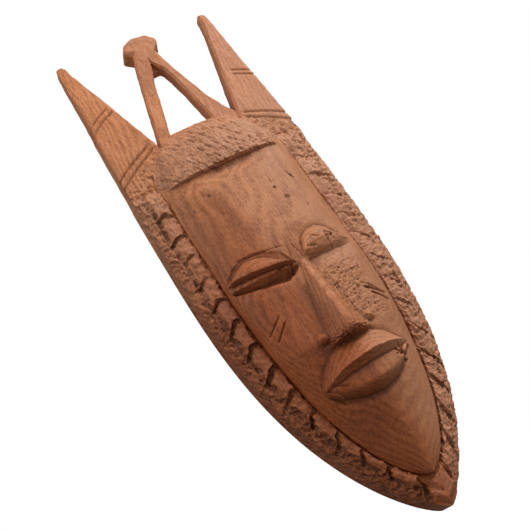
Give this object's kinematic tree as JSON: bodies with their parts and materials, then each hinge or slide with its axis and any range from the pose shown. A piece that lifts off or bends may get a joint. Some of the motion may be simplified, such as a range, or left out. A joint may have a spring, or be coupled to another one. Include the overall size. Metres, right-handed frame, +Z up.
{
  "type": "carved wooden mask",
  "caption": "Long pointed wall mask carved from one block: calm face, block border, thick hair band, two horns, an open crest with a knob, hollow back with a hanging ring.",
  "frame": {"origin": "point of the flat back face on the mask's centre line, on the solid wood just above the hollow, 220 mm above the bottom tip", "axes": "+Z up along the mask to the horn tips, +Y backwards out of the flat back towards the wall, +X to the viewer's right"},
  "size_m": [0.113, 0.047, 0.342],
  "materials": {
    "carved_wood": "hand-carved, waxed to a low sheen",
    "pecked_wood": "pecked and chiselled, matte",
    "back_wood": "gouged inside, planed on the rim, unwaxed",
    "plated_steel": "yellow zinc plating, slightly dulled",
    "screw_steel": "bright zinc plating"
  },
  "bodies": {
    "mask": {"back_board": "back_wood", "border_left": "pecked_wood", "border_right": "pecked_wood", "border_blocks_left": "carved_wood", "border_blocks_right": "carved_wood", "chin_block": "carved_wood", "forehead": "carved_wood", "cheek_left": "carved_wood", "cheek_right": "carved_wood", "chin": "carved_wood", "nose": "carved_wood", "eyelid_left": "carved_wood", "eyelid_right": "carved_wood", "upper_lip": "carved_wood", "lower_lip": "carved_wood", "hair_band": "pecked_wood", "horn_left": "carved_wood", "horn_right": "carved_wood", "crest_strut_left": "carved_wood", "crest_strut_right": "carved_wood", "crest_knob": "carved_wood", "hanger_strap": "plated_steel", "hanger_screw": "screw_steel"},
    "ring": {"hanger_ring": "plated_steel"}
  },
  "joints": [
    {"name": "ring_swing", "type": "hinge", "parent": "mask", "child": "ring", "pos_m": [0, -0.0172, -0.044], "axis": [1, 0, 0], "range_deg": [0, 180]}
  ]
}
